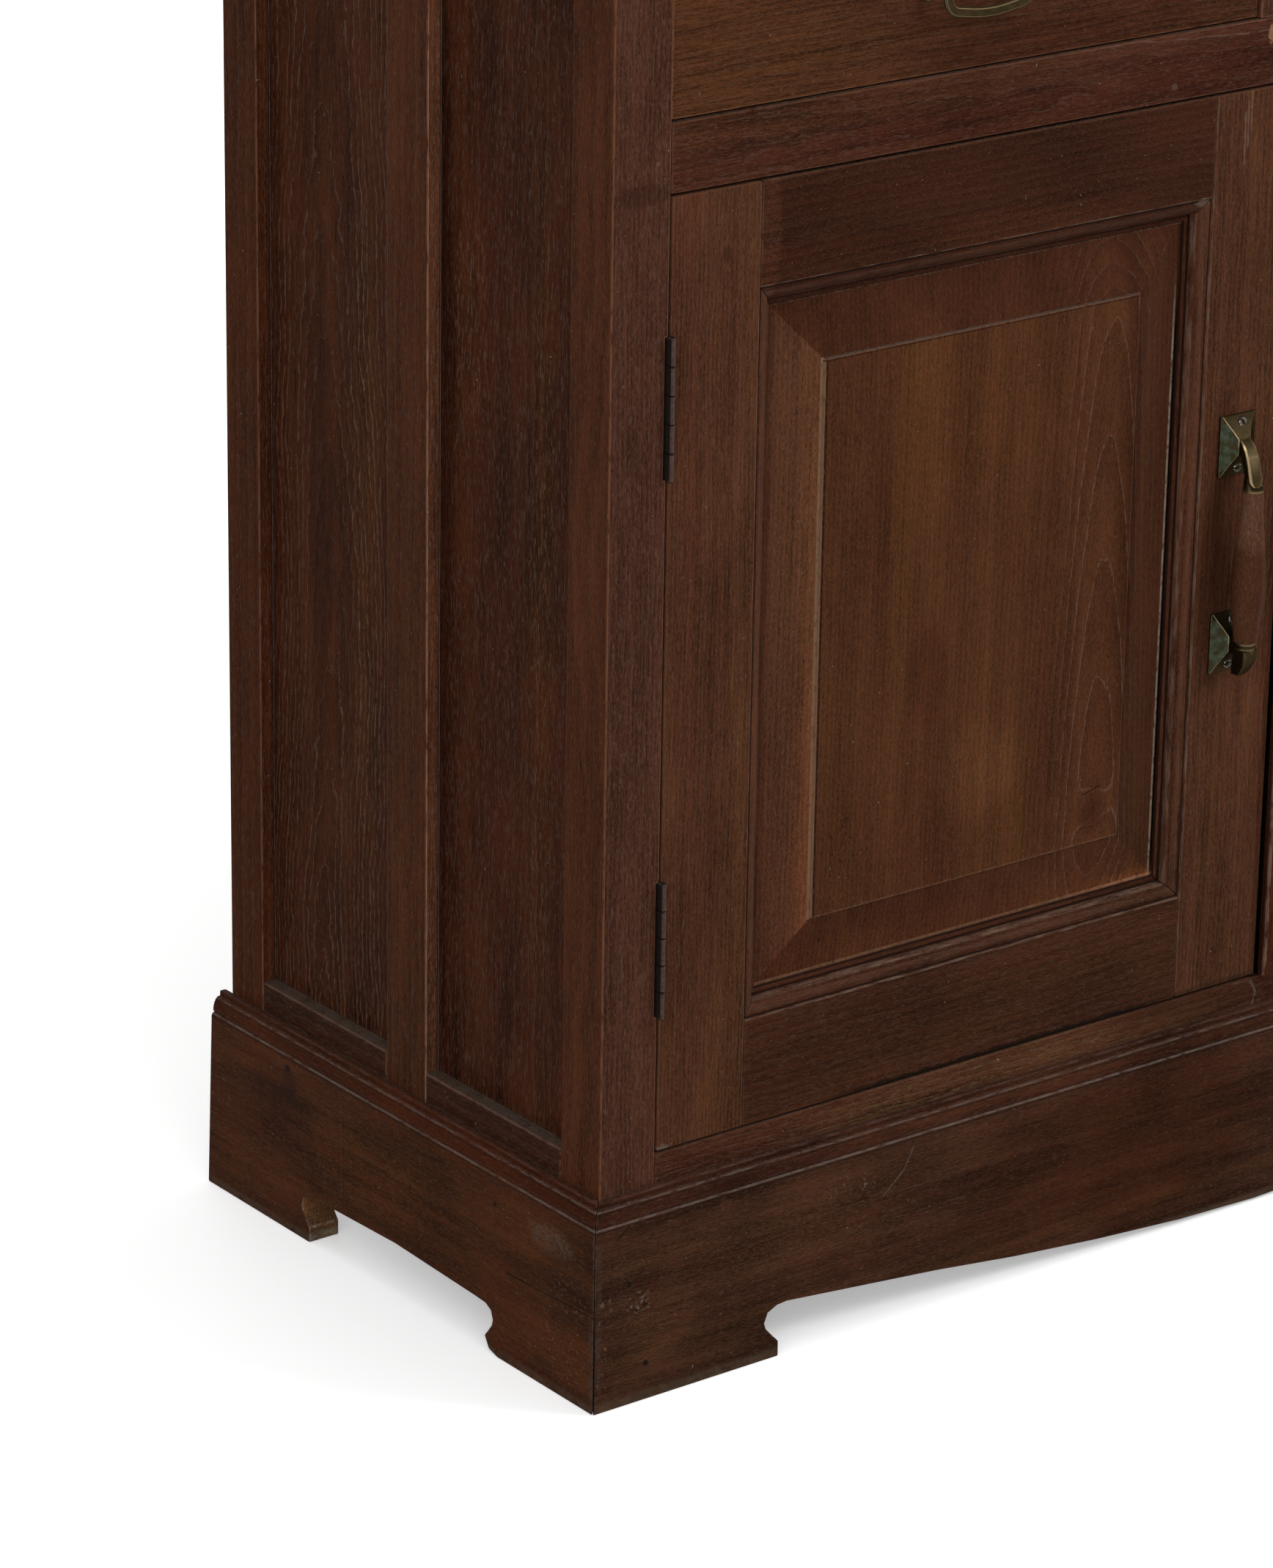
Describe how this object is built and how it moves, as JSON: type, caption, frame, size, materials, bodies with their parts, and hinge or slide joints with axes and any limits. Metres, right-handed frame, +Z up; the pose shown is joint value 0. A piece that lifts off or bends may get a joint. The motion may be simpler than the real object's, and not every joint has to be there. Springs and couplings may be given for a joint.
{
  "type": "cupboard",
  "caption": "Low teak cupboard: drawers with bail handles over hinged doors with raised panels and turned grip pulls, on a moulded plinth with bracket feet.",
  "frame": {"origin": "on the floor, under the centre of the bounding box", "axes": "+Z up, the doors and drawers face -Y, +X towards the right door seen from the front"},
  "size_m": [0.974, 0.383, 0.8594],
  "materials": {
    "frame_teak": "worn, dark reddish-brown teak, dull wax",
    "side_teak": "worn, open-grained dark brown teak",
    "door_teak": "worn brown teak, dull wax",
    "panel_teak": "warm brown teak with dust in the corners",
    "drawer_teak": "brown teak, dull wax",
    "plinth_teak": "scuffed and stained dark teak",
    "inner_teak": "unfinished teak",
    "grip_teak": "turned and handled, satin",
    "aged_brass": "aged, with greenish patina",
    "dark_steel": "dark, tarnished"
  },
  "bodies": {
    "carcass": {"front_post_left": "frame_teak", "back_post_left": "frame_teak", "side_bottom_rail_left": "side_teak", "side_top_rail_left": "side_teak", "side_muntin_left": "side_teak", "side_panel_front_left": "side_teak", "side_panel_back_left": "side_teak", "plinth_left": "plinth_teak", "hinge_left_top_post_leaf": "dark_steel", "hinge_left_bottom_post_leaf": "dark_steel", "front_post_right": "frame_teak", "back_post_right": "frame_teak", "side_bottom_rail_right": "side_teak", "side_top_rail_right": "side_teak", "side_muntin_right": "side_teak", "side_panel_front_right": "side_teak", "side_panel_back_right": "side_teak", "plinth_right": "plinth_teak", "hinge_right_top_post_leaf": "dark_steel", "hinge_right_bottom_post_leaf": "dark_steel", "bottom_rail": "frame_teak", "drawer_rail": "frame_teak", "top_rail": "frame_teak", "drawer_divider": "frame_teak", "top_board": "frame_teak", "bottom_board": "inner_teak", "shelf": "inner_teak", "dust_board": "inner_teak", "back_panel": "inner_teak", "plinth_front": "plinth_teak"},
    "door_left": {"door_left_hinge_stile": "door_teak", "door_left_meeting_stile": "door_teak", "door_left_top_rail": "door_teak", "door_left_bottom_rail": "door_teak", "door_left_panel": "panel_teak", "hinge_left_top_door_leaf": "dark_steel", "hinge_left_bottom_door_leaf": "dark_steel", "pull_left_upper_bracket": "aged_brass", "pull_left_lower_bracket": "aged_brass", "pull_left_grip": "grip_teak"},
    "door_right": {"door_right_hinge_stile": "door_teak", "door_right_meeting_stile": "door_teak", "door_right_top_rail": "door_teak", "door_right_bottom_rail": "door_teak", "door_right_panel": "panel_teak", "hinge_right_top_door_leaf": "dark_steel", "hinge_right_bottom_door_leaf": "dark_steel", "pull_right_upper_bracket": "aged_brass", "pull_right_lower_bracket": "aged_brass", "pull_right_grip": "grip_teak"},
    "drawer_left": {"drawer_left_front": "drawer_teak", "drawer_left_box": "inner_teak", "drawer_left_bottom": "inner_teak", "handle_left_backplate": "aged_brass"},
    "drawer_right": {"drawer_right_front": "drawer_teak", "drawer_right_box": "inner_teak", "drawer_right_bottom": "inner_teak", "handle_right_backplate": "aged_brass"},
    "bail_left": {"handle_left_bail": "aged_brass"},
    "bail_right": {"handle_right_bail": "aged_brass"}
  },
  "joints": [
    {"name": "door_left_hinge", "type": "hinge", "parent": "carcass", "child": "door_left", "pos_m": [-0.4244, -0.1682, 0.3965], "axis": [0, 0, -1], "range_deg": [0, 115]},
    {"name": "door_right_hinge", "type": "hinge", "parent": "carcass", "child": "door_right", "pos_m": [0.4244, -0.1682, 0.3965], "axis": [0, 0, 1], "range_deg": [0, 115]},
    {"name": "drawer_left_slide", "type": "slide", "parent": "carcass", "child": "drawer_left", "axis": [0, -1, 0], "range_m": [0, 0.25]},
    {"name": "drawer_right_slide", "type": "slide", "parent": "carcass", "child": "drawer_right", "axis": [0, -1, 0], "range_m": [0, 0.25]},
    {"name": "bail_left_swing", "type": "hinge", "parent": "drawer_left", "child": "bail_left", "pos_m": [-0.229, -0.174, 0.7494], "axis": [-1, 0, 0], "range_deg": [0, 90]},
    {"name": "bail_right_swing", "type": "hinge", "parent": "drawer_right", "child": "bail_right", "pos_m": [0.229, -0.174, 0.7494], "axis": [-1, 0, 0], "range_deg": [0, 90]}
  ]
}
